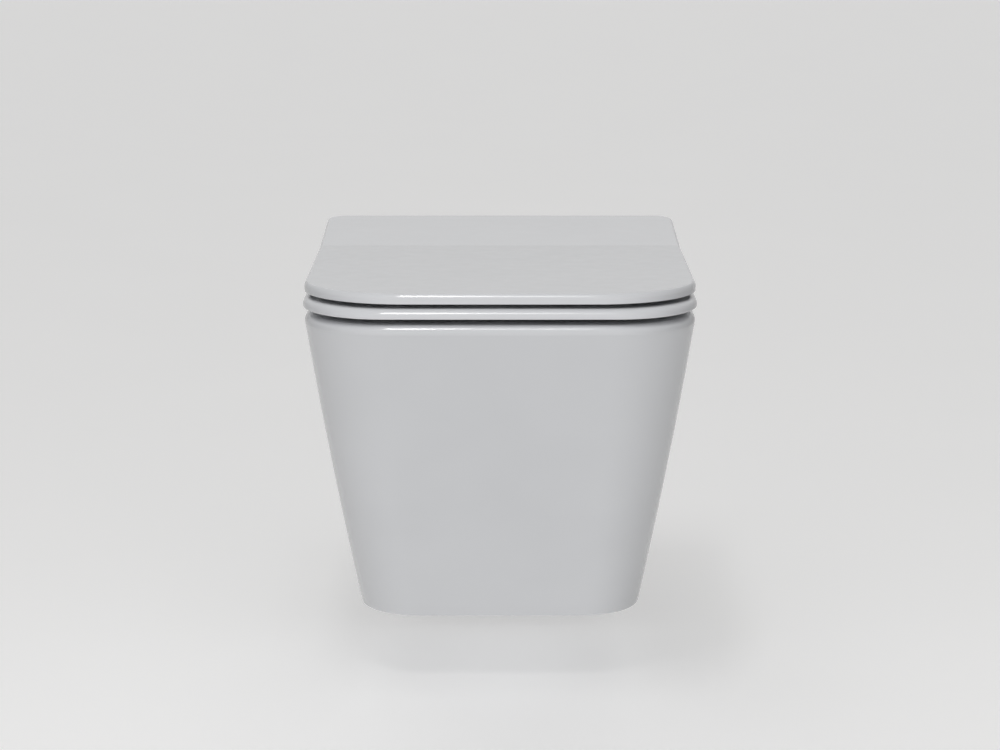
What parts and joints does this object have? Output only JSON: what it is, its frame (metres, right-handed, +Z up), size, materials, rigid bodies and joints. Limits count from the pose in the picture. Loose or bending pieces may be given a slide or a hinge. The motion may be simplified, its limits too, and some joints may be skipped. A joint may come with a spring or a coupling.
{
  "type": "wall hung toilet",
  "caption": "Rimless wall hung toilet pan with tapering flat sides, a slim soft-close seat and a lid that folds up at the back, on quick-release hinges.",
  "frame": {"origin": "midway between the two wall studs, in the plane of the finished wall", "axes": "+X to the viewer's right as they face the wall, +Y into the wall, +Z up"},
  "size_m": [0.3676, 0.5174, 0.3835],
  "materials": {
    "china": "smooth glossy white glaze",
    "duroplast": "polished white urea moulding",
    "soft_white": "translucent soft pads",
    "plug_rubber": "matt black rubber",
    "plated_zinc": "bright plated die casting",
    "steel": "turned stainless steel",
    "black_nylon": "glass-filled black nylon",
    "grey_nylon": "plain grey nylon"
  },
  "bodies": {
    "pan": {"pan": "china", "bowl": "china", "trapway": "china", "inlet_tube": "china", "hinge_base_left": "steel", "hinge_base_right": "steel", "hinge_post_left": "steel", "hinge_post_right": "steel", "expansion_plugs": "plug_rubber", "plug_nuts": "steel", "hinge_block_left": "plated_zinc", "hinge_block_right": "plated_zinc", "hinge_pin_left": "steel", "hinge_pin_right": "steel", "button_spring_left": "steel", "button_spring_right": "steel", "wall_blocks": "black_nylon", "stud_washers": "steel", "stud_nuts": "steel", "side_screws": "steel", "side_bushes": "grey_nylon", "side_caps": "duroplast"},
    "seat": {"seat_ring": "duroplast", "seat_bumpers": "soft_white", "seat_damper": "black_nylon", "seat_bush": "grey_nylon"},
    "lid": {"lid": "duroplast", "lid_bumpers": "soft_white", "lid_damper": "black_nylon", "lid_bush": "grey_nylon"},
    "latch_left": {"release_button_left": "grey_nylon"},
    "latch_right": {"release_button_right": "grey_nylon"}
  },
  "joints": [
    {"name": "seat_hinge", "type": "hinge", "parent": "pan", "child": "seat", "pos_m": [0, -0.048, 0.11], "axis": [-1, 0, 0], "range_deg": [0, 93]},
    {"name": "lid_hinge", "type": "hinge", "parent": "seat", "child": "lid", "pos_m": [0, -0.048, 0.11], "axis": [-1, 0, 0], "range_deg": [0, 95]},
    {"name": "release_left", "type": "slide", "parent": "pan", "child": "latch_left", "axis": [0, -1, 0], "range_m": [0, 0.003], "stiffness_N_per_m": 400, "springref_m": -0.004, "deforming": ["button_spring_left"]},
    {"name": "release_right", "type": "slide", "parent": "pan", "child": "latch_right", "axis": [0, -1, 0], "range_m": [0, 0.003], "stiffness_N_per_m": 400, "springref_m": -0.004, "deforming": ["button_spring_right"]}
  ]
}
